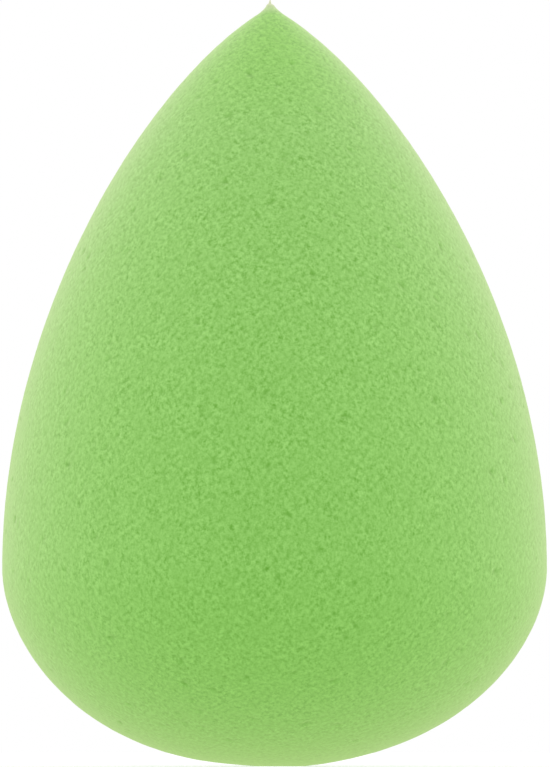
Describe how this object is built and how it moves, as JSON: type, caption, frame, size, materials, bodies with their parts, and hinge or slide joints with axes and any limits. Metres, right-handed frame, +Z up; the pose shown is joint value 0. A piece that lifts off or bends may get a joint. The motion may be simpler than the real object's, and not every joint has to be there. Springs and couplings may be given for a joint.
{
  "type": "makeup sponge",
  "caption": "Drop-shaped makeup sponge of soft fine-celled foam, with a rounded end that it stands on and a pointed tip.",
  "frame": {"origin": "middle of the small flat that the sponge stands on, at the bottom of its rounded end", "axes": "+Z up along the sponge's axis of revolution to its tip; it is the same all round, so X and Y are free"},
  "size_m": [0.043, 0.043, 0.0602],
  "materials": {
    "foam": "matte"
  },
  "bodies": {
    "root": {"foam_body": "foam"}
  },
  "joints": []
}
